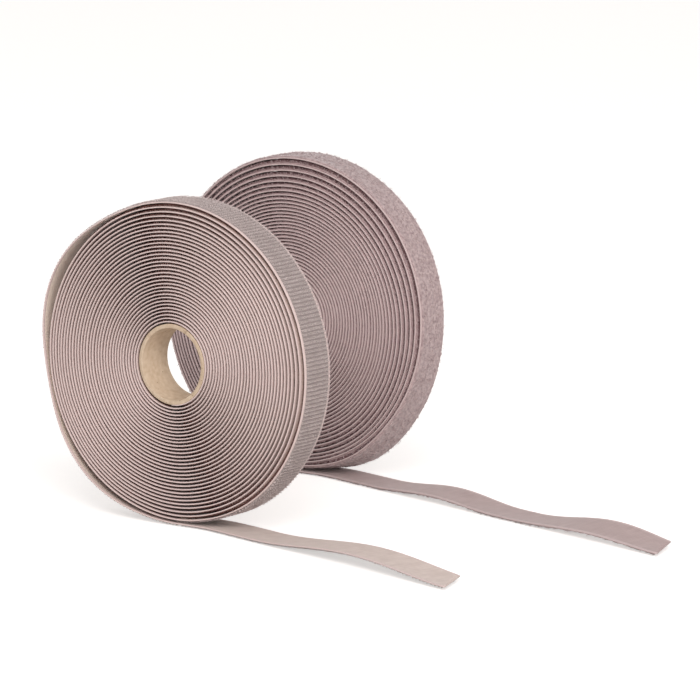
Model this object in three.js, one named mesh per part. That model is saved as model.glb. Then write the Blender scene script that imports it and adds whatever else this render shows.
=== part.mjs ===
// A pair of rolls of hook and loop tape, standing one behind the other on a floor.
// The front roll holds the hook tape and the back roll the loop tape. Each tape is wound on a
// cardboard tube with its pile outwards, and its free end runs out along the floor, pile down.
// Millimetres, +Z up. The origin is on the floor under the middle of the front roll, +Y runs
// along that roll's axis, away from the viewer, and +X is the way its tape is drawn off.

import * as THREE from "three";

// The tape and the tube, alike in both rolls
const tapeWidth = 20;
const woundThickness = 1.25; // backing and pile, pressed together in the roll
const freeThickness = 1.8; // the same tape where nothing presses on it
const coreBore = 35;
const coreWall = 2.05;
const coreLength = 20;
const coreChamfer = 0.35;
const seatGap = 0.3; // between a solid and the one that it lies against

// The turns: the outer ones are wound as one strip, over a plain pack of the inner ones
const outerTurns = 22;
const stepsPerTurn = 24;
const packClearance = 0.5; // between the plain pack and the first wound turn

// Hook roll. Its radius is at the outer face of the last turn, where that turn meets the floor
const hookRadius = 79.9;
const hookPitch = 1.78;
const hookSlackPitch = 0.49; // added to the pitch at the end of the tape
const hookSlackTurns = 6;
const hookDriftX = 2.4; // how far the last turn's middle is off the tube's axis
const hookDriftZ = 0.695;
const hookBulgeHeight = 5; // the last turn stands off the roll at its upper left
const hookBulgeAngle = 114; // back along the turn from the floor, in degrees
const hookBulgeSpread = 45;
const hookSagHeight = 3.3; // and again at its lower left
const hookSagAngle = 47;
const hookSagSpread = 44;

// Loop roll, looser in its outer turns
const loopRadius = 82;
const loopPitch = 1.72;
const loopSlackPitch = 1.05;
const loopSlackTurns = 11;
const loopDriftX = 4.2;
const loopDriftZ = 2.491;
const loopBulgeHeight = 0.3;
const loopBulgeAngle = 58;
const loopBulgeSpread = 50;
const loopSagHeight = 0.8;
const loopSagAngle = 247;
const loopSagSpread = 42;

// How many of the outer turns drift off the tube's axis
const driftTurns = 10;

// Where the loop roll stands, from the hook roll
const loopRollX = -33.6;
const loopRollY = 140;

// The free ends, measured along the tape from where it meets the floor
const bendLength = 14; // the stretch in which the tape turns aside on the floor
const hingeDistance = 62; // where the free end starts to lift
const thickenLength = 24; // the stretch in which the pile springs up, past the roll
const cutSkew = 12; // how much longer the near edge is than the far edge
const hookTailLength = 188.7;
const hookTailAngle = 14.5;
const loopTailLength = 262.4;
const loopTailAngle = 15.4;

// Low waves in which the free ends leave the floor. The tilt is how much higher the far edge is
const hookWaveMiddle = 128;
const hookWaveSpread = 75;
const hookWaveHeight = 4.7;
const hookWaveTilt = 0.3;
const loopNearWaveMiddle = 104;
const loopNearWaveSpread = 48;
const loopNearWaveHeight = 2.8;
const loopNearWaveTilt = 1.2;
const loopFarWaveMiddle = 220;
const loopFarWaveSpread = 58;
const loopFarWaveHeight = 3.6;
const loopFarWaveTilt = 3;

// Counts of faces
const footSteps = 8;
const tailSteps = 18;
const coreSegments = 48;

const halfStep = Math.PI / stepsPerTurn;
const coreRadius = coreBore / 2 + coreWall;

const hookRoll = {
  name: "hook",
  radius: hookRadius,
  pitch: hookPitch,
  slackPitch: hookSlackPitch,
  slackTurns: hookSlackTurns,
  driftX: hookDriftX,
  driftZ: hookDriftZ,
  lobes: [
    { angle: hookBulgeAngle, spread: hookBulgeSpread, height: hookBulgeHeight },
    { angle: hookSagAngle, spread: hookSagSpread, height: hookSagHeight },
  ],
  tailLength: hookTailLength,
  tailAngle: hookTailAngle,
  waves: [
    { middle: hookWaveMiddle, spread: hookWaveSpread, height: hookWaveHeight, tilt: hookWaveTilt },
  ],
  tapeMaterial: new THREE.MeshStandardMaterial({ color: 0xb3a29c, roughness: 0.85, metalness: 0 }),
};

const loopRoll = {
  name: "loop",
  radius: loopRadius,
  pitch: loopPitch,
  slackPitch: loopSlackPitch,
  slackTurns: loopSlackTurns,
  driftX: loopDriftX,
  driftZ: loopDriftZ,
  lobes: [
    { angle: loopBulgeAngle, spread: loopBulgeSpread, height: loopBulgeHeight },
    { angle: loopSagAngle, spread: loopSagSpread, height: loopSagHeight },
  ],
  tailLength: loopTailLength,
  tailAngle: loopTailAngle,
  waves: [
    {
      middle: loopNearWaveMiddle,
      spread: loopNearWaveSpread,
      height: loopNearWaveHeight,
      tilt: loopNearWaveTilt,
    },
    {
      middle: loopFarWaveMiddle,
      spread: loopFarWaveSpread,
      height: loopFarWaveHeight,
      tilt: loopFarWaveTilt,
    },
  ],
  tapeMaterial: new THREE.MeshStandardMaterial({ color: 0x9c8588, roughness: 0.95, metalness: 0 }),
};

const cardboard = new THREE.MeshStandardMaterial({ color: 0xc9b59a, roughness: 0.9, metalness: 0 });

// A smooth hump that is 1 at its middle and 0 from its spread outwards
function hump(distance, spread) {
  if (Math.abs(distance) >= spread) return 0;
  return Math.cos((Math.PI / 2) * (distance / spread)) ** 2;
}

// A smooth rise from 0 to 1 as the share goes from 0 to 1
function rise(share) {
  return THREE.MathUtils.smoothstep(share, 0, 1);
}

// A closed four-sided strip through its stations. Each station has its centre, and the vectors
// from there to the middle of the far edge and to the middle of the pile side.
function stripGeometry(stations) {
  const corners = stations.flatMap(({ centre, toEdge, toPile }) => [
    centre.clone().add(toEdge).add(toPile),
    centre.clone().sub(toEdge).add(toPile),
    centre.clone().sub(toEdge).sub(toPile),
    centre.clone().add(toEdge).sub(toPile),
  ]);
  const sides = corners.length / stations.length;
  const faces = [];
  for (let step = 1; step < stations.length; step += 1) {
    for (let side = 0; side < sides; side += 1) {
      const a = (step - 1) * sides + side;
      const b = (step - 1) * sides + ((side + 1) % sides);
      faces.push(a, b + sides, b, a, a + sides, b + sides);
    }
  }
  const last = corners.length - sides;
  faces.push(0, 1, 2, 0, 2, 3);
  faces.push(last, last + 2, last + 1, last, last + 3, last + 2);
  return new THREE.BufferGeometry().setFromPoints(corners).setIndex(faces);
}

// A ring round the roll's axis, from its four corners in half section: radius and place along Y
function ringGeometry(outline, segments, firstAngle) {
  const points = outline.map(([radius, along]) => new THREE.Vector2(radius, along));
  return new THREE.LatheGeometry([...points, points[0].clone()], segments, firstAngle);
}

// Height of the tube's axis: the last step of the tape lies flat on the floor
function axisHeight(roll) {
  return roll.radius * Math.cos(halfStep) - roll.driftZ;
}

// Middle of a turn, by the turns that follow it. The last turns drift off the tube's axis.
function turnMiddle(roll, turnsLeft) {
  const share = Math.max(0, 1 - turnsLeft / driftTurns) ** 3;
  return new THREE.Vector3(roll.driftX * share, 0, axisHeight(roll) + roll.driftZ * share);
}

// Outer radius of a turn, by the turns that follow it. The pitch grows towards the end.
function turnRadius(roll, turnsLeft) {
  const slack = Math.min(turnsLeft, roll.slackTurns);
  const slackDepth = roll.slackPitch * (slack - slack ** 2 / (2 * roll.slackTurns));
  return roll.radius - roll.pitch * turnsLeft - slackDepth;
}

// How far the last turn stands off, by the angle back from the floor
function looseness(roll, backAngle) {
  return roll.lobes.reduce(
    (sum, lobe) => sum + lobe.height * hump(backAngle - lobe.angle, lobe.spread),
    0,
  );
}

// The wound strip, from its inner end to the end of the flat step under the roll
function windingStations(roll) {
  const lastStep = outerTurns * stepsPerTurn;
  return Array.from({ length: lastStep + 1 }, (_, step) => {
    const stepsLeft = lastStep - step;
    const backAngle = (360 * stepsLeft) / stepsPerTurn;
    const turnsLeft = Math.max(0, stepsLeft - 1) / stepsPerTurn;
    const angle = THREE.MathUtils.degToRad(270 - backAngle) + halfStep;
    const outwards = new THREE.Vector3(Math.cos(angle), 0, Math.sin(angle));
    const centre = turnMiddle(roll, turnsLeft);
    const toFloor = outwards.z < 0 ? -centre.z / outwards.z : Infinity;
    const radius = Math.min(turnRadius(roll, turnsLeft) + looseness(roll, backAngle), toFloor);
    centre.addScaledVector(outwards, radius - woundThickness / 2);
    return {
      centre,
      toEdge: new THREE.Vector3(0, tapeWidth / 2, 0),
      toPile: outwards.multiplyScalar(woundThickness / 2),
    };
  });
}

// Least gap between each turn's smooth side and the pile side of the turn inside it
function leastGap(stations) {
  const smooth = stations.map(({ centre, toPile }) => centre.clone().sub(toPile));
  const pile = stations.map(({ centre, toPile }) => centre.clone().add(toPile));
  let least = Infinity;
  for (let outer = stepsPerTurn; outer < stations.length; outer += 1) {
    const below = outer - stepsPerTurn;
    for (let inner = Math.max(1, below - 1); inner <= below + 1; inner += 1) {
      const nearest = new THREE.Vector3();
      new THREE.Line3(pile[inner - 1], pile[inner]).closestPointToPoint(smooth[outer], true, nearest);
      least = Math.min(least, nearest.distanceTo(smooth[outer]));
    }
  }
  return least;
}

// A place along the tape past the roll, in plan: an arc that turns aside, then a straight run
function runPlace(roll, distance) {
  const bendStart = roll.radius * Math.sin(halfStep);
  const fullAngle = THREE.MathUtils.degToRad(roll.tailAngle);
  const bendRadius = bendLength / fullAngle;
  const bent = THREE.MathUtils.clamp(distance - bendStart, 0, bendLength);
  const angle = bent / bendRadius;
  const straight = distance - bendStart - bent;
  return {
    x: roll.driftX + bendStart + bendRadius * Math.sin(angle) + straight * Math.cos(angle),
    y: -bendRadius * (1 - Math.cos(angle)) - straight * Math.sin(angle),
    angle,
  };
}

// A station of the tape on the floor. Its pile side is down.
function runStation(roll, distance, skew) {
  const { x, y, angle } = runPlace(roll, distance);
  const sprung = rise((distance - roll.radius * Math.sin(halfStep)) / thickenLength);
  const thickness = THREE.MathUtils.lerp(woundThickness, freeThickness, sprung);
  const shares = roll.waves.map((wave) => hump(distance - wave.middle, wave.spread));
  const lift = roll.waves.reduce((sum, wave, index) => sum + wave.height * shares[index], 0);
  const tilt = roll.waves.reduce((sum, wave, index) => sum + wave.tilt * shares[index], 0);
  const heading = new THREE.Vector3(Math.cos(angle), -Math.sin(angle), 0);
  const across = new THREE.Vector3(Math.sin(angle), Math.cos(angle), tilt / tapeWidth);
  return {
    centre: new THREE.Vector3(x, y, lift + thickness / 2),
    toEdge: across.multiplyScalar(tapeWidth / 2).addScaledVector(heading, -skew / 2),
    toPile: new THREE.Vector3(0, 0, -thickness / 2),
  };
}

// A stretch of the tape on the floor, whose last edge may be cut at a skew
function runGeometry(roll, from, to, steps, endSkew) {
  const stations = Array.from({ length: steps + 1 }, (_, step) => {
    const distance = THREE.MathUtils.lerp(from, to, step / steps);
    return runStation(roll, distance, step === steps ? endSkew : 0);
  });
  return stripGeometry(stations);
}

// The cardboard tube, its four edges broken
function coreMesh(roll) {
  const inner = coreBore / 2;
  const end = coreLength / 2;
  const outline = [
    [inner, -end + coreChamfer],
    [inner + coreChamfer, -end],
    [coreRadius - coreChamfer, -end],
    [coreRadius, -end + coreChamfer],
    [coreRadius, end - coreChamfer],
    [coreRadius - coreChamfer, end],
    [inner + coreChamfer, end],
    [inner, end - coreChamfer],
  ];
  const mesh = new THREE.Mesh(ringGeometry(outline, coreSegments, 0), cardboard);
  mesh.name = `${roll.name}_core`;
  mesh.position.z = axisHeight(roll);
  return mesh;
}

// The inner turns, a plain pack on the tube whose faces are parallel to the wound turns' faces
function innerTurnsMesh(roll) {
  const inner = (coreRadius + seatGap) / Math.cos(halfStep);
  const outer = turnRadius(roll, outerTurns) - woundThickness - packClearance;
  const edge = tapeWidth / 2;
  const outline = [
    [inner, -edge],
    [outer, -edge],
    [outer, edge],
    [inner, edge],
  ];
  const mesh = new THREE.Mesh(ringGeometry(outline, stepsPerTurn, halfStep), roll.tapeMaterial);
  mesh.name = `${roll.name}_inner_turns`;
  mesh.position.z = axisHeight(roll);
  return mesh;
}

function outerTurnsMesh(roll) {
  const stations = windingStations(roll);
  console.log(`${roll.name} tape, least gap between turns: ${leastGap(stations).toFixed(2)} mm`);
  const mesh = new THREE.Mesh(stripGeometry(stations), roll.tapeMaterial);
  mesh.name = `${roll.name}_outer_turns`;
  return mesh;
}

// The tape that leaves under the roll, flat on the floor
function floorRunMesh(roll) {
  const from = roll.radius * Math.sin(halfStep) + seatGap;
  const to = hingeDistance - seatGap / 2;
  const mesh = new THREE.Mesh(runGeometry(roll, from, to, footSteps, 0), roll.tapeMaterial);
  mesh.name = `${roll.name}_floor_run`;
  return mesh;
}

// The free end, which lifts
function freeEndMesh(roll) {
  const from = hingeDistance + seatGap / 2;
  const geometry = runGeometry(roll, from, roll.tailLength, tailSteps, cutSkew);
  const mesh = new THREE.Mesh(geometry, roll.tapeMaterial);
  mesh.name = `${roll.name}_free_end`;
  return mesh;
}

function rollGroup(roll) {
  const group = new THREE.Group();
  group.add(
    coreMesh(roll),
    innerTurnsMesh(roll),
    outerTurnsMesh(roll),
    floorRunMesh(roll),
    freeEndMesh(roll),
  );
  return group;
}

const pair = new THREE.Group();
const hookGroup = rollGroup(hookRoll);
const loopGroup = rollGroup(loopRoll);
loopGroup.position.set(loopRollX, loopRollY, 0);
pair.add(hookGroup, loopGroup);

export default pair;
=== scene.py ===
# %% [markdown]
# A pair of rolls of hook and loop tape, dressed for the camera.
#
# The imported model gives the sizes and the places. This script adds what makes a roll of woven
# tape look real: the long thin strip itself with its thick edges, thousands of tiny hooks and
# curls, the cardboard tubes, a soft light and a camera.

# %% Load the frame
from types import SimpleNamespace

import bpy
import numpy as np
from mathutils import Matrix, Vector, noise


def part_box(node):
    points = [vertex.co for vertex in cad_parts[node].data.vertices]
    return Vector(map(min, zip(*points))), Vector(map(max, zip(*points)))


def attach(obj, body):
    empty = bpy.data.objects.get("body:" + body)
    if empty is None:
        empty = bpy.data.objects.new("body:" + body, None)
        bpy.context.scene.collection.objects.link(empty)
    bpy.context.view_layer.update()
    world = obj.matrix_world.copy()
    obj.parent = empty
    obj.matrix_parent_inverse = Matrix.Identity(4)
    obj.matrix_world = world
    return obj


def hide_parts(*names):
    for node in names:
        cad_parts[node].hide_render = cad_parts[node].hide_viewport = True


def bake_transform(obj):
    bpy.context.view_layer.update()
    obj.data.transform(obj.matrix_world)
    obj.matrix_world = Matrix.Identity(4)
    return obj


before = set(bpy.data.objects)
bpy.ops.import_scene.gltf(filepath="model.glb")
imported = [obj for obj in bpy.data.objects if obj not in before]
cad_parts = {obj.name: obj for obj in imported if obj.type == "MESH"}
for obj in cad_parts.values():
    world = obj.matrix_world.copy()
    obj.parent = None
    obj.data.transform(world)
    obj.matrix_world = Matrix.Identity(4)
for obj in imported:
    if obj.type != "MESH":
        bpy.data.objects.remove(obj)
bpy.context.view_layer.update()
MM = 0.001
print("nodes in the frame:", sorted(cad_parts))

# %% [markdown]
# The camera stands where the photograph was taken from: about 2.5 m away, 37 degrees to the
# right of the rolls' faces and a little above them. A long lens keeps the near and the far roll
# at almost the same scale. The camera comes first, because everything else is judged in it.

# %% Camera
CAMERA_PLACE = (1.484, -1.93276, 0.49978)
CAMERA_DIP, CAMERA_HEADING = 0.169, 0.6222  # radians
CAMERA_LENS, SENSOR_WIDTH = 265.7, 36  # mm of the camera
FARTHEST_SEEN = 100

bpy.ops.object.select_all(action="DESELECT")
bpy.ops.object.camera_add(
    location=CAMERA_PLACE, rotation=(np.pi / 2 - CAMERA_DIP, 0, CAMERA_HEADING)
)
camera = bpy.context.object
camera.name = "camera"
camera.data.lens = CAMERA_LENS
camera.data.sensor_width = SENSOR_WIDTH
camera.data.clip_end = FARTHEST_SEEN
bpy.context.scene.camera = camera
print("camera at", tuple(round(v, 3) for v in camera.location))

# %% [markdown]
# Tape is a strip with two sides. Its back is bare and its front carries the pile. Both tapes
# are 20 mm wide and about 0.55 mm thick without the pile, and their woven edges, the selvedges,
# are a little thicker and stay bare. A free end relaxes to its full depth, while the turns of a
# roll are pressed. These sizes are shared by both rolls.

# %% Sizes of the tape
TAPE_WIDTH = 20 * MM
BACKING = 0.55 * MM
SELVEDGE = 1.3 * MM
PILE_DEPTH = 1.1 * MM
TAPE_DEPTH = BACKING + PILE_DEPTH
FREE_DEPTH = 1.8 * MM
CLEARANCE = 0.12 * MM
CUT_SKEW = 12 * MM
CORE_BORE_RADIUS = 17.5 * MM
CORE_WALL = 2.05 * MM
CORE_RADIUS = CORE_BORE_RADIUS + CORE_WALL
OUTER_TURNS = 22
RNG = np.random.default_rng(7)
print("tape depth in mm, wound and free:", round(TAPE_DEPTH / MM, 2), round(FREE_DEPTH / MM, 2))

# %% [markdown]
# Each roll has its own numbers, measured from the photograph. The pitch is the depth that a
# turn takes up, and the slack pitch is added to it bit by bit over the last, looser turns. The
# drift is how far the outer turns have moved off the tube's axis. The lobes are the bulges of
# the last turns: degrees back from the foot, spread in degrees, and height. Settle and twist
# are how far the last turns sag and lean outwards, and most_puff is how far the pile may rise
# into a gap. The waves are those of the free end: middle, spread, height and tilt.

# %% The two rolls
def core_centre(node):
    """Middle of a roll's tube, from the frame."""
    low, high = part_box(node)
    return np.array((low + high) / 2)


hook = SimpleNamespace(
    name="hook", centre=core_centre("hook_core"), radius=79.9 * MM, inner_turns=11,
    pitch=1.78 * MM, slack_pitch=0.49 * MM, slack_turns=6,
    drift=np.array([2.4, 0, 0.695]) * MM,
    lobes=[(114, 45, 5.0 * MM), (47, 44, 3.3 * MM)],
    settle=0, twist=0, most_puff=0.6 * MM,
    tail_length=188.7 * MM, tail_angle=np.radians(14.5),
    waves=[(128 * MM, 75 * MM, 4.7 * MM, 0.3 * MM)],
)
loop = SimpleNamespace(
    name="loop", centre=core_centre("loop_core"), radius=82.0 * MM, inner_turns=10,
    pitch=1.72 * MM, slack_pitch=1.05 * MM, slack_turns=11,
    drift=np.array([4.2, 0, 2.491]) * MM,
    lobes=[(58, 50, 0.3 * MM), (335, 25, 1.2 * MM)],
    settle=1.4 * MM, twist=0.2, most_puff=2 * MM,
    tail_length=262.4 * MM, tail_angle=np.radians(15.4),
    waves=[(104 * MM, 48 * MM, 2.8 * MM, 1.2 * MM), (220 * MM, 58 * MM, 3.6 * MM, 3.0 * MM)],
)
print("axis heights in mm:", round(hook.centre[2] / MM, 2), round(loop.centre[2] / MM, 2))

# %% [markdown]
# The route of each tape is a spiral round the tube that opens towards its end, then a last
# loose turn, and then the run along the floor. It could be drawn as a curve and followed with a
# Curve modifier. Here it is worked out as a table of stations along the tape, each with a place
# and two directions, because the hooks and the pile can then follow the same route.
#
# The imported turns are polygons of 24 steps, and the roll stands on the lowest step. So the
# round turns flatten near the foot, where they meet the floor run.

# %% Route of a tape
TURN_STEPS = 240  # stations on one turn
CAD_STEPS = 24
HALF_STEP = np.pi / CAD_STEPS
FOOT_FLAT, FOOT_FADE = 10, 35  # degrees from the foot that are flat, and that grow round
DRIFT_TURNS, DRIFT_POWER = 10, 3  # the drift grows over the last ten turns
LOOSE_TURNS, LOOSE_FULL = 3, 1.25  # fades in over 3 turns, and is full on the last 0.75
SETTLE_MIDDLE, SETTLE_SPREAD = 290, 70  # degrees back from the foot
TWIST_MIDDLE, TWIST_SPREAD, TWIST_FROM = 330, 60, 150  # degrees back from the foot
QUIET_TURNS = 2  # turns over which the ripple fades in
LEAST_DROP = 0.1  # keeps the floor's limit on the radius finite
LEAST_PRESS = 0.5  # the share of its depth to which the tape can be pressed
ROUTE_SEED = 11
RIPPLE_RATES = (0.3, 2.6)  # waves on one turn
DEPTH_RIPPLE, DEPTH_WAVES = 0.035 * MM, 5
SIDE_RIPPLE, SIDE_WAVES = 0.13 * MM, 6
RUN_STATIONS = 400
BEND_LENGTH = 14 * MM  # where the floor run turns towards the camera
SPRING_LENGTH = 24 * MM  # where the tape springs back to its free depth


def hump(distance, spread):
    """A smooth hump, 1 at distance 0 and 0 from its spread outwards."""
    inside = np.abs(distance) < spread
    return np.where(inside, np.cos(np.pi / 2 * distance / spread) ** 2, 0)


def smooth(share):
    """A share from 0 to 1 with a soft start and a soft end."""
    share = np.clip(share, 0, 1)
    return share * share * (3 - 2 * share)


def degrees_from(back, middle):
    """Angle to a place on every turn, from -180 to 180 degrees."""
    return (back - middle + 180) % 360 - 180


def ripple(turns, size, waves, rng):
    """A gentle unevenness along the turns, as a hand-fed winder leaves it."""
    total = np.zeros_like(turns)
    for _ in range(waves):
        rate = rng.uniform(*RIPPLE_RATES)
        total += np.sin(2 * np.pi * (rate * turns + rng.uniform(0, 1)))
    return size * total / np.sqrt(waves)


def outer_radius(roll, turns):
    """Radius of a turn's outer face, by the turns that follow it."""
    slack = np.minimum(turns, roll.slack_turns)
    slack_depth = roll.slack_pitch * (slack - slack**2 / (2 * roll.slack_turns))
    outer = np.minimum(turns, OUTER_TURNS)
    at_pack = roll.radius - roll.pitch * OUTER_TURNS - roll.slack_pitch * roll.slack_turns / 2
    inner_pitch = (at_pack - CORE_RADIUS + CLEARANCE) / (roll.inner_turns + 1)
    inner = np.maximum(turns - OUTER_TURNS, 0)
    return roll.radius - roll.pitch * outer - slack_depth - inner_pitch * inner


def wound_turns(roll):
    """Stations round the tube, from its wall out to the floor, relative to the roll's foot."""
    rng = np.random.default_rng(ROUTE_SEED)
    total = OUTER_TURNS + roll.inner_turns
    turns = np.linspace(total, 0, total * TURN_STEPS + 1)
    back = 360 * turns
    angle = np.radians(270 - back)
    zero = np.zeros_like(angle)
    out = np.stack([np.cos(angle), zero, np.sin(angle)], 1)
    across = np.stack([zero, zero - 1, zero], 1)

    round_share = smooth((np.abs(degrees_from(back, 0)) - FOOT_FLAT) / FOOT_FADE)
    radius = outer_radius(roll, turns) * (
        np.cos(HALF_STEP) + (1 - np.cos(HALF_STEP)) * round_share
    )
    radius += sum(height * hump(back - middle, spread) for middle, spread, height in roll.lobes)
    loose = np.clip(LOOSE_FULL - turns / LOOSE_TURNS, 0, 1)
    radius -= roll.settle * loose * hump(degrees_from(back, SETTLE_MIDDLE), SETTLE_SPREAD)
    twist = roll.twist * loose * hump(degrees_from(back, TWIST_MIDDLE), TWIST_SPREAD)
    across -= out * (twist * (back > TWIST_FROM))[:, None]
    quiet = smooth(turns) * smooth((total - turns) / QUIET_TURNS)
    radius += ripple(turns, DEPTH_RIPPLE, DEPTH_WAVES, rng) * quiet
    drift = np.maximum(0, 1 - turns / DRIFT_TURNS)[:, None] ** DRIFT_POWER * roll.drift
    axis = roll.radius * np.cos(HALF_STEP) - roll.drift[2]
    radius = np.minimum(radius, (axis + drift[:, 2]) / np.maximum(-out[:, 2], LEAST_DROP))
    face = out * radius[:, None] + drift

    reach = (face * out).sum(1)
    room = reach - np.concatenate([np.full(TURN_STEPS, np.nan), reach[:-TURN_STEPS]])
    room[:TURN_STEPS] = room[TURN_STEPS]
    press = np.clip((room - CLEARANCE) / TAPE_DEPTH, LEAST_PRESS, 1)
    room_above = room[TURN_STEPS:] - TAPE_DEPTH * press[TURN_STEPS:]
    spare = np.concatenate([room_above, zero[:TURN_STEPS]])
    puff = np.clip(spare - CLEARANCE, 0, roll.most_puff)
    place = face - out * (TAPE_DEPTH * press)[:, None]
    place[:, 1] = ripple(turns, SIDE_RIPPLE, SIDE_WAVES, rng) * quiet
    place[:, 2] += axis
    return place, across, out, press, puff


def floor_run(roll):
    """Stations along the floor, from the roll's foot to the cut end."""
    run = np.linspace(0, roll.tail_length, RUN_STATIONS)[1:]
    bend_start = roll.radius * np.sin(HALF_STEP)
    bend_radius = BEND_LENGTH / roll.tail_angle
    turned = np.clip(run - bend_start, 0, BEND_LENGTH) / bend_radius
    straight = np.maximum(run - bend_start - BEND_LENGTH, 0)
    x = np.minimum(run, bend_start) + bend_radius * np.sin(turned) + straight * np.cos(turned)
    y = -bend_radius * (1 - np.cos(turned)) - straight * np.sin(turned)
    sprung = smooth((run - bend_start) / SPRING_LENGTH)
    thickness = TAPE_DEPTH + (FREE_DEPTH - TAPE_DEPTH) * sprung
    lift = sum(height * hump(run - middle, spread) for middle, spread, height, _ in roll.waves)
    tilt = sum(tip * hump(run - middle, spread) for middle, spread, _, tip in roll.waves)
    flat = np.zeros_like(run)
    place = np.stack([x + roll.drift[0], y, lift + thickness], 1)
    across = np.stack([-np.sin(turned), -np.cos(turned), -tilt / TAPE_WIDTH], 1)
    out = np.stack([flat, flat, flat - 1], 1)
    return place, across, out, thickness / TAPE_DEPTH, flat


def route(roll):
    """Stations along the whole tape, and where its last turn and its floor run start."""
    wound = wound_turns(roll)
    tables = [np.concatenate(pair) for pair in zip(wound, floor_run(roll))]
    place, across, out, press, puff = tables
    steps = np.linalg.norm(np.diff(place, axis=0), axis=1)
    distance = np.concatenate([[0], np.cumsum(steps)])
    foot = len(wound[0]) - 1
    return SimpleNamespace(
        distance=distance, place=place + (roll.centre[0], roll.centre[1], 0),
        across=across, out=out, press=press, puff=puff, length=float(distance[-1]),
        floor=float(distance[foot]), last_turn=float(distance[foot - TURN_STEPS]),
    )


hook.route = route(hook)
loop.route = route(loop)
for roll in (hook, loop):
    print(roll.name, "tape length in m:", round(roll.route.length, 3))

# %% [markdown]
# Every long piece starts flat. Its X is the distance along the tape, its Y is the way across
# towards the near edge, and its Z is the height above the bare back. A short block or a single
# thread is made with mesh tools, Array modifiers repeat it, and then the points are moved onto
# the route. Before they move, the flat place is kept in an attribute, so that the weave can
# follow the tape round every turn.

# %% Helpers for pieces
MERGE_DISTANCE = 0.01 * MM
END_FACING = 0.9  # a face at an end has at least this much of X in its normal


def clear_selection():
    bpy.ops.object.select_all(action="DESELECT")


def select_faces(piece, wanted):
    """In edit mode, selects the faces whose normal passes the test."""
    bpy.ops.mesh.select_all(action="DESELECT")
    bpy.ops.object.mode_set(mode="OBJECT")
    for face in piece.data.polygons:
        face.select = bool(wanted(face.normal))
    bpy.ops.object.mode_set(mode="EDIT")


def select_edges(piece, wanted):
    """In edit mode, selects the edges whose two ends pass the test."""
    bpy.ops.mesh.select_all(action="DESELECT")
    bpy.ops.object.mode_set(mode="OBJECT")
    points = piece.data.vertices
    for edge in piece.data.edges:
        a, b = (points[i].co for i in edge.vertices)
        edge.select = bool(wanted(a, b))
    bpy.ops.object.mode_set(mode="EDIT")


def apply_all(piece):
    bpy.context.view_layer.objects.active = piece
    for modifier in list(piece.modifiers):
        bpy.ops.object.modifier_apply(modifier=modifier.name)


def repeat_along(piece, *steps, merged=False):
    """Repeats a piece with an Array modifier for each count and offset."""
    for count, offset in steps:
        modifier = piece.modifiers.new("repeat", "ARRAY")
        modifier.count = count
        modifier.use_relative_offset = False
        modifier.use_constant_offset = True
        modifier.constant_offset_displace = offset
        modifier.use_merge_vertices = merged
        modifier.merge_threshold = MERGE_DISTANCE
    apply_all(piece)


def smooth_faces(piece):
    for face in piece.data.polygons:
        face.use_smooth = True


def points_of(piece):
    flat = np.empty(len(piece.data.vertices) * 3)
    piece.data.vertices.foreach_get("co", flat)
    return flat.reshape(-1, 3)


def move_points(piece, points):
    piece.data.vertices.foreach_set("co", np.ascontiguousarray(points, float).ravel())
    piece.data.update()


def skewed(points, length):
    """Moves points near the end of the tape so that they follow its slanted cut."""
    near_end = smooth((points[:, 0] - length + 2 * CUT_SKEW) / (2 * CUT_SKEW))
    points[:, 0] += CUT_SKEW * near_end * points[:, 1] / TAPE_WIDTH
    return points


def block(name, step, width, low, high, rounding, cuts):
    """One step of a long strip, open at both ends, with lengthwise cuts. The long edges above
    a height are rounded, which rounding gives with the bevel's width and segments."""
    rounded_above, bevel_width, segments = rounding
    clear_selection()
    bpy.ops.mesh.primitive_cube_add(size=1, location=(step / 2, 0, (low + high) / 2))
    piece = bpy.context.object
    piece.name = name
    piece.scale = (step, width, high - low)
    bpy.ops.object.transform_apply(location=True, rotation=False, scale=True)
    bpy.ops.object.mode_set(mode="EDIT")
    bpy.ops.mesh.select_mode(type="EDGE")
    select_edges(
        piece, lambda a, b: abs(a.x - b.x) > step / 2 and min(a.z, b.z) > rounded_above
    )
    bpy.ops.mesh.bevel(offset=bevel_width, segments=segments)
    bpy.ops.mesh.select_mode(type="FACE")
    select_faces(piece, lambda normal: abs(normal.x) > END_FACING)
    bpy.ops.mesh.delete(type="ONLY_FACE")
    for place in cuts:
        bpy.ops.mesh.select_all(action="SELECT")
        bpy.ops.mesh.bisect(plane_co=(0, place, 0), plane_no=(0, 1, 0))
    bpy.ops.object.mode_set(mode="OBJECT")
    return piece


def lengthen(piece, count, step):
    """Repeats a block into a long strip and closes the strip's two ends."""
    repeat_along(piece, (count, (step, 0, 0)), merged=True)
    along = points_of(piece)[:, 0]
    bpy.ops.object.mode_set(mode="EDIT")
    for end in (along.min(), along.max()):
        select_edges(piece, lambda a, b: abs(a.x - end) + abs(b.x - end) < step / 10)
        bpy.ops.mesh.edge_face_add()
    bpy.ops.object.mode_set(mode="OBJECT")


def wind(piece, path, fill=0.0):
    """Winds a flat piece along a route, and keeps its flat place in an attribute.
    Its pile rises by the given share of any room left above it."""
    flat = points_of(piece)
    kept = piece.data.attributes.new("flat", "FLOAT_VECTOR", "POINT")
    kept.data.foreach_set("vector", flat.astype(np.float32).ravel())
    x, y, z = flat.T

    def along(table):
        return np.stack([np.interp(x, path.distance, table[:, k]) for k in range(3)], 1)

    press = np.interp(x, path.distance, path.press)
    rise = np.interp(x, path.distance, path.puff) * fill / PILE_DEPTH
    z = z * press + np.maximum(0, z - BACKING) * rise
    out = along(path.out)
    out /= np.linalg.norm(out, axis=1)[:, None]
    past = x - np.clip(x, 0, path.length)
    ahead = np.cross(along(path.across), out)
    moved = along(path.place) + along(path.across) * y[:, None]
    moved += out * z[:, None] + ahead * past[:, None]
    move_points(piece, moved)


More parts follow.
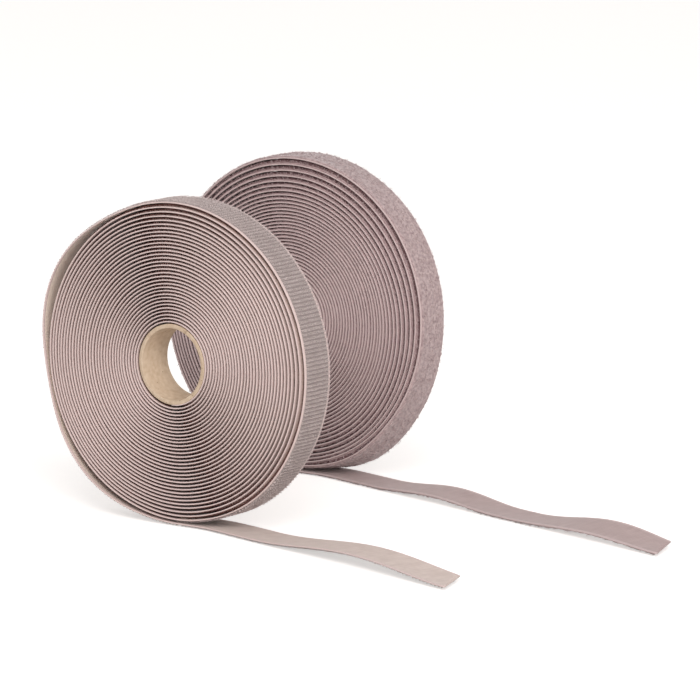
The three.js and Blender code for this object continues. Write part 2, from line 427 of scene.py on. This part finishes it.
def dress(piece, material):
    piece.data.materials.clear()
    piece.data.materials.append(material)


# %% [markdown]
# Colours are written as they are seen, in sRGB from 0 to 255, and turned into the linear
# values that shaders work with. A few short functions add shader nodes. Each input of a node is
# given a value or the socket that feeds it, so that a finish reads from top to bottom.

# %% Colours and shader nodes
FIRST_COLOUR, SECOND_COLOUR, MIXED_COLOUR = 6, 7, 2  # sockets of a Mix node


def colour(red, green, blue):
    shares = np.array([red, green, blue]) / 255
    linear = np.where(shares <= 0.04045, shares / 12.92, ((shares + 0.055) / 1.055) ** 2.4)
    return (*linear, 1.0)


def shader(name, base, roughness):
    """A new material, its node tree and its Principled shader."""
    material = bpy.data.materials.new(name)
    material.use_nodes = True
    tree = material.node_tree
    principled = tree.nodes["Principled BSDF"]
    feed(tree, principled, {"Base Color": base, "Roughness": roughness})
    return material, tree, principled


def feed(tree, node, inputs):
    for key, value in inputs.items():
        if isinstance(value, bpy.types.NodeSocket):
            tree.links.new(value, node.inputs[key])
        else:
            node.inputs[key].default_value = value


def add(tree, kind, inputs=None, **settings):
    node = tree.nodes.new(kind)
    for key, value in settings.items():
        setattr(node, key, value)
    feed(tree, node, inputs or {})
    return node


def maths(tree, operation, *values, clamp=False):
    inputs = dict(enumerate(values))
    node = add(tree, "ShaderNodeMath", inputs, operation=operation, use_clamp=clamp)
    return node.outputs[0]


def ramp(tree, value, low, high, bottom=0, top=1):
    """The bottom where the value is low, and evenly up to the top where it is high."""
    inputs = {
        "Value": value, "From Min": low, "From Max": high, "To Min": bottom, "To Max": top,
    }
    return add(tree, "ShaderNodeMapRange", inputs).outputs["Result"]


def mixed(tree, share, first, second):
    """A colour between two, the first at a share of 0 and the second at a share of 1."""
    inputs = {"Factor": share, FIRST_COLOUR: first, SECOND_COLOUR: second}
    return add(tree, "ShaderNodeMix", inputs, data_type="RGBA").outputs[MIXED_COLOUR]


def clouds(tree, place, scale, detail=2):
    inputs = {"Vector": place, "Scale": scale, "Detail": detail}
    return add(tree, "ShaderNodeTexNoise", inputs).outputs["Fac"]


def flat_place(tree):
    return add(tree, "ShaderNodeAttribute", attribute_name="flat").outputs["Vector"]


def relief(tree, principled, height, strength, depth):
    bump = add(
        tree, "ShaderNodeBump", {"Height": height, "Strength": strength, "Distance": depth}
    )
    feed(tree, principled, {"Normal": bump.outputs["Normal"]})


print("a grey seen as 128 is", round(float(colour(128, 128, 128)[0]), 3), "in linear light")

# %% [markdown]
# The back of the tape is a ribbed weave with a thin coat on it. Ribs run across the tape 1.5 mm
# apart, and the whole has faint lines across it and soft blotches. The pattern reads the kept
# flat place, so it never slides or stretches.
#
# The colour also follows where the tape lies. The selvedges have a colour of their own. Between
# the wound turns little light gets in, so the tape darkens from its edges inwards. Under the
# pile of the last turn and the free end the back has painted shade, and on the inner side of
# the last turn, which hangs free, it is paler, because light comes through it there.

# %% Woven backing
WEAVE_ROUGHNESS = 0.62
RIB_PITCH = 1.5 * MM
RIB_SHARE, RIB_WOBBLE, RIB_WOBBLE_SCALE = 0.4, 1.2, 300
BLOTCHES_PER_METRE = 160
LINES_PER_METRE = (900, 60, 60)
WEAVE_TONES = (0.8, 1.6)
LINE_HEIGHT, WEAVE_BUMP, WEAVE_RELIEF = 0.6, 0.5, 0.06 * MM
WEAVE_SHEEN, SHEEN_ROUGHNESS = 0.15, 0.4
SELVEDGE_LINE = TAPE_WIDTH / 2 - SELVEDGE
SELVEDGE_FADE = 0.2 * MM
OUTER_SIDE = BACKING * 0.9  # above this height lies the side of the pile
LIT_DEPTH, DARK_DEPTH = 0.9 * MM, 2.0 * MM  # into the gap between two turns
LOOSE_END, LOOSE_START = 30 * MM, 90 * MM  # back along the tape from its foot
LOOSE_SHARE = 0.85


def woven(name, path, base, deep, edge, shade_under_pile, between, clear, loose):
    """A woven back. Deep is the colour between its ribs, and clear is how much less deep the
    light reaches on the side of the pile."""
    material, tree, principled = shader(name, base, WEAVE_ROUGHNESS)
    flat = flat_place(tree)
    along, aside, height = add(tree, "ShaderNodeSeparateXYZ", {"Vector": flat}).outputs
    aside = maths(tree, "ABSOLUTE", aside)

    wave = {
        "Vector": flat, "Scale": 2 * np.pi / (20 * RIB_PITCH), "Distortion": RIB_WOBBLE,
        "Detail Scale": RIB_WOBBLE_SCALE,
    }
    ribs = add(
        tree, "ShaderNodeTexWave", wave, bands_direction="X", wave_profile="SIN"
    ).outputs["Fac"]
    stretched = add(tree, "ShaderNodeMapping", {"Vector": flat, "Scale": LINES_PER_METRE})
    lines = clouds(tree, stretched.outputs["Vector"], 1)
    uneven = maths(tree, "ADD", clouds(tree, flat, BLOTCHES_PER_METRE, 4), lines)
    ribbed = maths(tree, "MULTIPLY_ADD", ribs, RIB_SHARE, uneven)
    weave = mixed(tree, ramp(tree, ribbed, *WEAVE_TONES), deep, base)

    ground = ramp(tree, aside, SELVEDGE_LINE, SELVEDGE_LINE - SELVEDGE_FADE)
    edged = mixed(tree, ground, edge, weave)
    outer = maths(tree, "GREATER_THAN", height, OUTER_SIDE)
    wound = maths(tree, "LESS_THAN", along, path.last_turn)
    # Painted shade under the pile: inside the selvedges, on the pile side of the last turn and
    # the free end, the back is darkened.
    pile_shade_share = maths(tree, "SUBTRACT", maths(tree, "MULTIPLY", ground, outer), wound, clamp=True)
    pile_shaded = mixed(tree, pile_shade_share, edged, shade_under_pile)
    depth = maths(tree, "MULTIPLY_ADD", outer, clear, aside)
    dark = ramp(tree, depth, TAPE_WIDTH / 2 - LIT_DEPTH, TAPE_WIDTH / 2 - DARK_DEPTH)
    shaded = mixed(tree, maths(tree, "MULTIPLY", dark, wound), pile_shaded, between)
    hanging = ramp(
        tree, along, path.floor - LOOSE_END, path.floor - LOOSE_START, top=LOOSE_SHARE
    )
    bared = maths(tree, "SUBTRACT", hanging, maths(tree, "ADD", wound, outer), clamp=True)
    paler = mixed(tree, maths(tree, "MULTIPLY", bared, ground), shaded, loose)

    feed(tree, principled, {
        "Base Color": paler, "Sheen Weight": WEAVE_SHEEN, "Sheen Roughness": SHEEN_ROUGHNESS,
    })
    rough = maths(tree, "MULTIPLY_ADD", lines, LINE_HEIGHT, ribs)
    relief(tree, principled, rough, WEAVE_BUMP, WEAVE_RELIEF)
    return material


# The colour under the pile is painted shade.
hook_backing_finish = woven(
    "hook_backing", hook.route, base=colour(222, 204, 195), deep=colour(202, 182, 173),
    edge=colour(216, 194, 189), shade_under_pile=colour(152, 139, 136), between=colour(122, 80, 72),
    clear=1.4 * MM, loose=colour(255, 237, 220),
)
loop_backing_finish = woven(
    "loop_backing", loop.route, base=colour(188, 165, 162), deep=colour(170, 146, 143),
    edge=colour(202, 180, 178), shade_under_pile=colour(156, 132, 132), between=colour(122, 92, 93),
    clear=0.8 * MM, loose=colour(214, 192, 189),
)
print("woven finishes:", hook_backing_finish.name, loop_backing_finish.name)

# %% [markdown]
# The strip itself starts as one short block of tape. Its long edges are rounded, its ends are
# opened, lengthwise cuts mark off the selvedges, and those are swollen a little. An Array
# modifier then repeats the block into ten metres of tape, and its two ends are closed again.

# %% The strip
TAPE_STEP = 3.0 * MM
TAPE_ROUNDING = (-BACKING, BACKING * 0.38, 2)  # all long edges, from below its back upwards
SELVEDGE_CUTS = (SELVEDGE, SELVEDGE * 0.75)
SELVEDGE_SWELL = 0.04 * MM
SWOLLEN_LINE = TAPE_WIDTH / 2 - SELVEDGE * 0.8


def flat_strip(name, length):
    count = int(round(length / TAPE_STEP))
    step = length / count
    cuts = [side * (TAPE_WIDTH / 2 - inset) for side in (-1, 1) for inset in SELVEDGE_CUTS]
    strip = block(name, step, TAPE_WIDTH, 0, BACKING, TAPE_ROUNDING, cuts)
    points = points_of(strip)
    swollen = np.abs(points[:, 1]) > SWOLLEN_LINE
    points[swollen, 2] += np.sign(points[swollen, 2] - BACKING / 2) * SELVEDGE_SWELL
    move_points(strip, points)
    lengthen(strip, count, step)
    move_points(strip, skewed(points_of(strip), length))
    smooth_faces(strip)
    return strip


strips = {}
for roll, finish in ((hook, hook_backing_finish), (loop, loop_backing_finish)):
    strip = flat_strip(f"{roll.name}_tape", roll.route.length)
    wind(strip, roll.route)
    dress(strip, finish)
    strips[roll.name] = strip
    print(strip.name, len(strip.data.polygons), "faces")

# %% [markdown]
# A hook is a stiff plastic thread that stands up from the weave and bends over at its tip. One
# is modelled from a small triangle: it is extruded upwards, and each further stretch is turned
# a little, until the tip points down. Rows of copies make the field on the last turn and under
# the free end, and one simpler row at each edge fills the gaps between the inner turns.

# %% One hook
HOOK = {"radius": 0.13 * MM, "stem": 0.72 * MM, "bend": 0.24 * MM}
TIP_TURN = np.radians(190)
ROOT_POINTS = 3  # a thread has three sides


def one_hook(name, stretches, radius, stem, bend):
    """A hook on the origin. Its tip bends over towards +X."""
    clear_selection()
    bpy.ops.mesh.primitive_circle_add(vertices=ROOT_POINTS, radius=radius, fill_type="NGON")
    piece = bpy.context.object
    piece.name = name
    bpy.ops.object.mode_set(mode="EDIT")
    bpy.ops.mesh.extrude_region_move(TRANSFORM_OT_translate={"value": (0, 0, stem)})
    turn = TIP_TURN / stretches
    for step in range(stretches):
        middle = turn * (step + 0.5)
        chord = 2 * bend * np.sin(turn / 2)
        move = (chord * np.sin(middle), 0, chord * np.cos(middle))
        bpy.ops.mesh.extrude_region_move(TRANSFORM_OT_translate={"value": move})
        bpy.ops.object.mode_set(mode="OBJECT")
        tips = [v.co.copy() for v in piece.data.vertices if v.select]
        centre = sum(tips, tips[0] * 0) / len(tips)
        bpy.ops.object.mode_set(mode="EDIT")
        bpy.ops.transform.rotate(
            value=turn, orient_axis="Y", center_override=tuple(centre),
            constraint_axis=(False, True, False),
        )
    bpy.ops.object.mode_set(mode="OBJECT")
    return piece


field_hook = one_hook("field_hook", 3, **HOOK)
edge_hook = one_hook("edge_hook", 1, **HOOK)
tip = points_of(field_hook).max(0)
print("hook reaches", (tip / MM).round(2), "mm, with", len(field_hook.data.polygons), "faces")

# %% [markdown]
# Rows of hooks run across the tape in pairs two millimetres apart, and the two rows of a pair
# face opposite ways. Two Array modifiers lay them out. After that each hook gets its own small
# turn, lean, shift and height, because no two threads stand quite alike.

# %% Fields of hooks
ROW_PITCH = 2.0 * MM
HOOKS_APART = 0.85 * MM
COLUMN_PITCH = 0.78 * MM
COLUMNS = 23
ROOT_HEIGHT = BACKING - 0.06 * MM
FIELD_HABITS = {"turn": 0.3, "lean": 0.1, "shift": 0.07 * MM, "stretch": 0.16}
EDGE_HABITS = {"turn": 0.8, "lean": 0.2, "shift": 0.16 * MM, "stretch": 0.2}
EDGE_SPACING = 1.1 * MM
HOOK_INSET = 2.1 * MM
ROWS_FROM = 6 * MM  # from the inner end of the tape
ROW_GAP = 1 * MM  # left free between an edge row and the field, and at the cut end
FOOT_REACH = 2 * MM  # the field of the last turn goes this far past the foot


def ruffle(points, each, turn, lean, shift, stretch):
    """Gives each copy of a thread its own turn, lean, place and height."""
    copies = points.reshape(-1, each, 3).copy()
    count = len(copies)
    foot = copies[:, :ROOT_POINTS].mean(1, keepdims=True)
    local = copies - foot
    a = RNG.normal(0, turn, count)[:, None]
    x = local[..., 0] * np.cos(a) - local[..., 1] * np.sin(a)
    y = local[..., 0] * np.sin(a) + local[..., 1] * np.cos(a)
    z = local[..., 2] * RNG.uniform(1 - stretch, 1 + stretch / 3, count)[:, None]
    x += z * RNG.normal(0, lean, count)[:, None]
    y += z * RNG.normal(0, lean, count)[:, None]
    moved = np.stack([x, y, z], 2) + foot
    moved[..., :2] += RNG.normal(0, shift, (count, 1, 2))
    return moved.reshape(-1, 3)


def copy_of(piece, name):
    clear_selection()
    piece.select_set(True)
    bpy.context.view_layer.objects.active = piece
    bpy.ops.object.duplicate()
    twin = bpy.context.object
    twin.name = name
    return twin


def hook_field(name, start, end):
    pair = copy_of(field_hook, name)
    back = copy_of(field_hook, "back")
    back.rotation_euler.z = np.pi
    back.location.x = HOOKS_APART
    back.location.y = COLUMN_PITCH / 2
    clear_selection()
    back.select_set(True)
    bpy.ops.object.transform_apply(location=True, rotation=True, scale=False)
    pair.select_set(True)
    bpy.context.view_layer.objects.active = pair
    bpy.ops.object.join()
    rows = int((end - start) / ROW_PITCH)
    repeat_along(pair, (COLUMNS, (0, COLUMN_PITCH, 0)), (rows, (ROW_PITCH, 0, 0)))
    points = ruffle(points_of(pair), len(field_hook.data.vertices), **FIELD_HABITS)
    points += (start, -COLUMN_PITCH * (COLUMNS - 0.5) / 2, ROOT_HEIGHT)
    move_points(pair, skewed(points, hook.route.length))
    wind(pair, hook.route)
    return pair


def edge_rows(name, thread, path, spacing, inset, habits, fill=0.0):
    """A row of threads along the front edge of the wound turns, and one along the back edge."""
    rows = []
    start, end = ROWS_FROM, path.last_turn - ROW_GAP
    for edge, side in (("front", 1), ("back", -1)):
        row = copy_of(thread, f"{name}_{edge}_edge")
        repeat_along(row, (int((end - start) / spacing), (spacing, 0, 0)))
        points = ruffle(points_of(row), len(thread.data.vertices), **habits)
        points += (start, side * (TAPE_WIDTH / 2 - inset), ROOT_HEIGHT)
        move_points(row, points)
        wind(row, path, fill)
        rows.append(row)
    return rows


mid_turn = (hook.route.last_turn + hook.route.floor) / 2
field_end = hook.route.floor + FOOT_REACH
hook_turn = [
    hook_field("hooks_first_half", hook.route.last_turn, mid_turn),
    hook_field("hooks_second_half", mid_turn, field_end),
]
hook_tail = hook_field("hooks_under_end", field_end, hook.route.length - ROW_GAP)
hook_edges = edge_rows("hooks", edge_hook, hook.route, EDGE_SPACING, HOOK_INSET, EDGE_HABITS)
for piece in (*hook_turn, hook_tail, *hook_edges):
    print(piece.name, len(piece.data.polygons), "faces")

# %% [markdown]
# Further in between the turns the pile is too dense to see through. There it is one long bed
# with a ragged surface. On the loop tape a lower and wider bed, the fringe, lies over it and
# reaches almost to the edges. A finer bed, the nap, covers the last turn and the free end of
# the loop tape, where the pile is the surface that shows.

# %% Beds of pile
BED_LOW = BACKING * 0.9
BED_TOP_LINE = BED_LOW * 1.01
BED_ROUNDING = 0.45  # share of the bed's depth
BEDS_FROM = 4 * MM
COARSE_SIZE, COARSE_SEED = 2.6 * MM, 3.1
FINE_SIZE, FINE_SEED = 1.1 * MM, 8.7
TOP_COARSE, SIDE_FINE = 0.5, 1.2


def cloud(points, size, seed):
    """Smooth noise from -1 to 1 with blotches about the given size."""
    scaled = points / size + seed
    return np.array([noise.noise(p) for p in scaled.tolist()])


def bed(name, path, start, end, width, rise, step, cuts, rough, fill=0.0):
    """A bed of pile that rises above the backing, with a ragged top and ragged sides."""
    count = int((end - start) / step)
    high = BACKING + rise
    inner = width / 2 - (high - BED_LOW)
    rounding = (BED_TOP_LINE, (high - BED_LOW) * BED_ROUNDING, 1)
    piece = block(
        name, step, width, BED_LOW, high, rounding, np.linspace(-inner, inner, cuts)
    )
    lengthen(piece, count, step)
    points = points_of(piece)
    points[:, 0] += start
    top = points[:, 2] > BED_TOP_LINE
    coarse = cloud(points, COARSE_SIZE, COARSE_SEED)
    fine = cloud(points, FINE_SIZE, FINE_SEED)
    points[top, 2] += ((coarse * TOP_COARSE + fine) * rough)[top]
    points[:, 1] += (fine * SIDE_FINE + coarse) * rough * np.sign(points[:, 1])
    move_points(piece, skewed(points, path.length))
    smooth_faces(piece)
    wind(piece, path, fill)
    return piece


hook_bed = bed(
    "hook_bed", hook.route, BEDS_FROM, hook.route.last_turn, width=14.5 * MM,
    rise=0.85 * MM, step=2.2 * MM, cuts=2, rough=0.18 * MM, fill=0.8,
)
loop_bed = bed(
    "loop_bed", loop.route, BEDS_FROM, loop.route.last_turn, width=16.2 * MM,
    rise=0.9 * MM, step=2.2 * MM, cuts=2, rough=0.15 * MM, fill=1.0,
)
loop_fringe = bed(
    "loop_fringe", loop.route, BEDS_FROM, loop.route.last_turn, width=18.3 * MM,
    rise=0.45 * MM, step=1.5 * MM, cuts=2, rough=0.2 * MM, fill=0.35,
)
loop_nap = bed(
    "loop_nap", loop.route, loop.route.last_turn, loop.route.length - ROW_GAP,
    width=18.0 * MM, rise=0.8 * MM, step=0.8 * MM, cuts=22, rough=0.22 * MM,
)
for piece in (hook_bed, loop_bed, loop_fringe, loop_nap):
    print(piece.name, len(piece.data.polygons), "faces")

# %% [markdown]
# The pile of the loop tape is brushed thread, so each curl is a thin thread bent over in its
# own direction. Thousands stand on the last turn and under the free end, and a row at each edge
# makes the gaps between the inner turns look fuzzy.

# %% Curls of the loop tape
CURL = {"radius": 0.07 * MM, "stem": 0.6 * MM, "bend": 0.5 * MM}
CURL_HABITS = {"turn": 3.0, "lean": 0.5, "shift": 0, "stretch": 0.45}
EDGE_CURL_HABITS = {"turn": 3.0, "lean": 0.5, "shift": 0.3 * MM, "stretch": 0.3}
EDGE_CURL_SPACING, EDGE_CURL_INSET, EDGE_CURL_FILL = 1.15 * MM, 0.7 * MM, 0.8
HALF_TURN_CURLS, FREE_END_CURLS = 5700, 3200
CURLS_ASIDE = 8.9 * MM
CURL_ROOTS = (-0.05, 0.3)  # mm above the backing
CURLS_BEFORE_END = 3 * MM

long_curl = one_hook("long_curl", 3, **CURL)
short_curl = one_hook("short_curl", 2, **CURL)


def curl_field(name, start, end, count):
    piece = copy_of(long_curl, name)
    repeat_along(piece, (count, (0, 0, 0)))
    points = ruffle(points_of(piece), len(long_curl.data.vertices), **CURL_HABITS)
    spots = np.zeros((count, 1, 3))
    spots[:, 0, 0] = RNG.uniform(start, end, count)
    spots[:, 0, 1] = RNG.uniform(-CURLS_ASIDE, CURLS_ASIDE, count)
    spots[:, 0, 2] = BACKING + RNG.uniform(*CURL_ROOTS, count) * MM
    points = (points.reshape(count, -1, 3) + spots).reshape(-1, 3)
    move_points(piece, skewed(points, loop.route.length))
    wind(piece, loop.route)
    return piece


last_turn, on_floor = loop.route.last_turn, loop.route.floor
mid_turn = (last_turn + on_floor) / 2
loop_turn = [
    curl_field("loop_curls_first_half", last_turn, mid_turn, HALF_TURN_CURLS),
    curl_field("loop_curls_second_half", mid_turn, on_floor, HALF_TURN_CURLS),
]
curls_end = loop.route.length - CURLS_BEFORE_END
loop_tail = curl_field("loop_curls_under_end", on_floor, curls_end, FREE_END_CURLS)
loop_edges = edge_rows(
    "loop_curls", short_curl, loop.route, EDGE_CURL_SPACING, EDGE_CURL_INSET,
    EDGE_CURL_HABITS, EDGE_CURL_FILL,
)
for piece in (*loop_turn, loop_tail, *loop_edges):
    print(piece.name, len(piece.data.polygons), "faces")

for piece in (field_hook, edge_hook, long_curl, short_curl):
    bpy.data.objects.remove(piece)

# %% [markdown]
# The pile has its own finishes: a smooth, slightly shiny nylon for the hooks and a matt, uneven
# one for the brushed loops. Each tape's deep finish is darker, for the beds between the wound
# turns where little light gets in. The edge finishes lie between the two, for the threads and
# the fringe at the edges of those turns.

# %% Finishes of the pile
PILE_TONES = (0.35, 0.65)
PILE_BUMP, PILE_RELIEF = 0.5, 0.08 * MM
GRAINS_PER_METRE = 2500


def thread_finish(name, base, deep, roughness, blotch_size, sheen):
    material, tree, principled = shader(name, base, roughness)
    flat = flat_place(tree)
    blotches = ramp(tree, clouds(tree, flat, 1 / blotch_size, 5), *PILE_TONES)
    uneven = mixed(tree, blotches, deep, base)
    feed(tree, principled, {"Base Color": uneven, "Sheen Weight": sheen})
    relief(tree, principled, clouds(tree, flat, GRAINS_PER_METRE), PILE_BUMP, PILE_RELIEF)
    return material


pile = {
    name: thread_finish(f"{name}_thread", colour(*base), colour(*deep), *surface)
    for name, base, deep, surface in (
        ("hook", (208, 193, 190), (193, 178, 175), (0.38, 4 * MM, 0.1)),
        ("hook_deep", (112, 70, 64), (94, 56, 51), (0.5, 4 * MM, 0.0)),
        ("hook_edge", (186, 156, 148), (166, 136, 128), (0.45, 4 * MM, 0.0)),
        ("loop", (194, 171, 169), (160, 136, 137), (0.75, 1.6 * MM, 0.5)),
        ("loop_deep", (136, 106, 107), (114, 86, 88), (0.8, 2 * MM, 0.0)),
        ("loop_edge", (184, 158, 157), (160, 134, 134), (0.8, 2 * MM, 0.0)),
    )
}
for finish, tape, pieces in (
    ("hook", "hook_tape", (*hook_turn, hook_tail)),
    ("hook_edge", "hook_tape", hook_edges),
    ("hook_deep", "hook_tape", (hook_bed,)),
    ("loop", "loop_tape", (*loop_turn, loop_tail, *loop_edges, loop_nap)),
    ("loop_edge", "loop_tape", (loop_fringe,)),
    ("loop_deep", "loop_tape", (loop_bed,)),
):
    for piece in pieces:
        dress(piece, pile[finish])
print("pile finishes:", [material.name for material in pile.values()])

# %% [markdown]
# Each tube is wound from layers of brown paper. It is modelled from a cylinder: the ends are
# left open, the wall gets its thickness, and the cut rims are softened. Its finish shows the
# grain of the board, dark specks, and the spiral line where two strips of paper meet.

# %% Tubes
TUBE_SIDES = 128
RIM_SOFTNESS, RIM_SEGMENTS = 0.35 * MM, 3
BOARD_ROUGHNESS = 0.85
BOARD_TONES = (0.3, 0.7)
BOARD_BUMP, BOARD_RELIEF = 0.6, 0.08 * MM
BOARD_GRAINS_PER_METRE = 420
PAPER_STRIP = 58 * MM
SEAM_SHARE = 0.006  # of a strip's width
SPECKS_PER_METRE = 380
SPECK_SIZE = (0.1, 0.16)
SPECKLESS_SHARE = 0.72  # of the places where a speck could be


def tube(name, centre):
    clear_selection()
    bpy.ops.mesh.primitive_cylinder_add(
        vertices=TUBE_SIDES, radius=CORE_RADIUS, depth=TAPE_WIDTH, end_fill_type="NOTHING",
        rotation=(np.pi / 2, 0, 0),
    )
    piece = bpy.context.object
    piece.name = name
    bpy.ops.object.transform_apply(location=True, rotation=True, scale=False)
    wall = piece.modifiers.new("wall", "SOLIDIFY")
    wall.thickness = CORE_WALL
    wall.offset = -1
    soft = piece.modifiers.new("soft", "BEVEL")
    soft.width = RIM_SOFTNESS
    soft.segments = RIM_SEGMENTS
    soft.limit_method = "ANGLE"
    apply_all(piece)
    piece.location = centre
    bpy.ops.object.transform_apply(location=True, rotation=True, scale=False)
    smooth_faces(piece)
    return piece


def board(name, centre):
    material, tree, principled = shader(name, colour(205, 182, 158), BOARD_ROUGHNESS)
    place = add(tree, "ShaderNodeTexCoord").outputs["Object"]
    local = add(
        tree, "ShaderNodeMapping", {"Vector": place, "Location": tuple(centre)},
        vector_type="TEXTURE",
    ).outputs["Vector"]
    x, y, z = add(tree, "ShaderNodeSeparateXYZ", {"Vector": local}).outputs

    turn = maths(tree, "MULTIPLY", maths(tree, "ARCTAN2", z, x), 1 / (2 * np.pi))
    climb = maths(tree, "MULTIPLY_ADD", y, 1 / PAPER_STRIP, turn)
    seam = ramp(tree, maths(tree, "PINGPONG", climb, 0.5), 0, SEAM_SHARE)
    grain = clouds(tree, local, BOARD_GRAINS_PER_METRE, 6)
    tone = ramp(tree, grain, *BOARD_TONES)
    paper = mixed(tree, tone, colour(192, 167, 141), colour(211, 189, 165))
    speck = add(tree, "ShaderNodeTexVoronoi", {"Vector": local, "Scale": SPECKS_PER_METRE})
    chance = add(tree, "ShaderNodeSeparateColor", {"Color": speck.outputs["Color"]})
    speckless = maths(tree, "LESS_THAN", chance.outputs[0], SPECKLESS_SHARE)
    beside = ramp(tree, speck.outputs["Distance"], *SPECK_SIZE)
    plain_paper = maths(tree, "MAXIMUM", beside, speckless)
    speckled = mixed(tree, plain_paper, colour(160, 134, 110), paper)
    seamed = mixed(tree, seam, colour(170, 144, 120), speckled)
    feed(tree, principled, {"Base Color": seamed})
    relief(tree, principled, maths(tree, "ADD", seam, grain), BOARD_BUMP, BOARD_RELIEF)
    return material


for roll in (hook, loop):
    piece = tube(f"{roll.name}_tube", roll.centre)
    dress(piece, board(f"{roll.name}_board", roll.centre))
    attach(piece, f"{roll.name}_roll")
    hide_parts(f"{roll.name}_core")
    print(piece.name, len(piece.data.polygons), "faces")

# %% [markdown]
# The roll's own pile rides with the roll. The tape and the pile under its free end are fixed in
# place and attached to nothing. A bend line across the free end is worked out, and it slants
# down.

# %% Riding, and the line of a bend
BEND_AT, BEND_AIM = 50 * MM, 52 * MM  # along the tape from its foot
BEND_SPAN = 15 * MM


def bend_line(path):
    def spot(run):
        at = path.floor + run
        return np.array([np.interp(at, path.distance, path.place[:, k]) for k in range(3)])

    start = spot(BEND_AT)
    heading = spot(BEND_AIM) - start
    heading /= np.linalg.norm(heading)
    return tuple(start), tuple(start + BEND_SPAN * (heading + (0, 0, -1)))


for roll, crossing, staying in (
    (hook, [strips["hook"], hook_tail], [*hook_turn, *hook_edges, hook_bed]),
    (
        loop, [strips["loop"], loop_tail, loop_nap],
        [*loop_turn, *loop_edges, loop_bed, loop_fringe],
    ),
):
    start, end = bend_line(roll.route)
    for piece in crossing:
        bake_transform(piece)
    for piece in staying:
        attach(piece, f"{roll.name}_roll")
    solids = ("inner_turns", "outer_turns", "floor_run", "free_end")
    strip = strips[roll.name]
    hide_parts(*[f"{roll.name}_{solid}" for solid in solids])
    print(strip.name, "bends from", np.round(start, 3), "to", np.round(end, 3))

# %% [markdown]
# The floor is white paper. For the rays that make the picture it is lifted a little, so that it
# reads as plain white while it keeps the soft shadows. The world is plain white to those rays,
# and to all others it gives a weaker, even light from all round. Three soft lamps stand on the
# side of the camera: the key high up, a lower one to its right, and a weak one overhead.

# %% Floor and light
FLOOR_SIZE = 24
FLOOR_PLACE = (0, 4, -0.05 * MM)
FLOOR_LIFT = 0.56
FLOOR_COLOUR, FLOOR_GLOW = (0.8, 0.78, 0.765, 1), (1, 0.975, 0.955, 1)
FLOOR_ROUGHNESS, FLOOR_SHINE = 0.9, 0.1
WORLD_LIGHT = 0.45
AIM_HEIGHT = 0.08
LAMPS = (
    ("key", (1.6, -2.3, 2.3), 1.4, 45),
    ("right", (2.4, -1.5, 1.2), 1.4, 36),
    ("top", (-0.3, -0.6, 2.4), 1.6, 2),
)


def picture_rays(tree):
    """1 for rays that come from the camera, also by way of a gloss or glass, and else 0."""
    rays = add(tree, "ShaderNodeLightPath").outputs
    seen = maths(tree, "MAXIMUM", rays["Is Camera Ray"], rays["Is Glossy Ray"])
    return maths(tree, "MAXIMUM", seen, rays["Is Transmission Ray"])


clear_selection()
bpy.ops.mesh.primitive_plane_add(size=FLOOR_SIZE, location=FLOOR_PLACE)
floor = bpy.context.object
floor.name = "floor"
paper, tree, principled = shader("paper", FLOOR_COLOUR, FLOOR_ROUGHNESS)
feed(tree, principled, {
    "Specular IOR Level": FLOOR_SHINE, "Emission Color": FLOOR_GLOW,
    "Emission Strength": maths(tree, "MULTIPLY", picture_rays(tree), FLOOR_LIFT),
})
floor.data.materials.append(paper)

world = bpy.context.scene.world or bpy.data.worlds.new("world")
bpy.context.scene.world = world
world.use_nodes = True
tree = world.node_tree
feed(tree, tree.nodes["Background"], {
    "Color": (1, 1, 1, 1),
    "Strength": ramp(tree, picture_rays(tree), 0, 1, bottom=WORLD_LIGHT),
})

for name, place, size, power in LAMPS:
    clear_selection()
    bpy.ops.object.light_add(type="AREA", location=place)
    lamp = bpy.context.object
    lamp.name = name
    lamp.data.size = size
    lamp.data.energy = power
    aim = -lamp.location.copy()
    aim.z += AIM_HEIGHT
    lamp.rotation_euler = aim.to_track_quat("-Z", "Y").to_euler()
bpy.context.scene.view_settings.view_transform = "Standard"
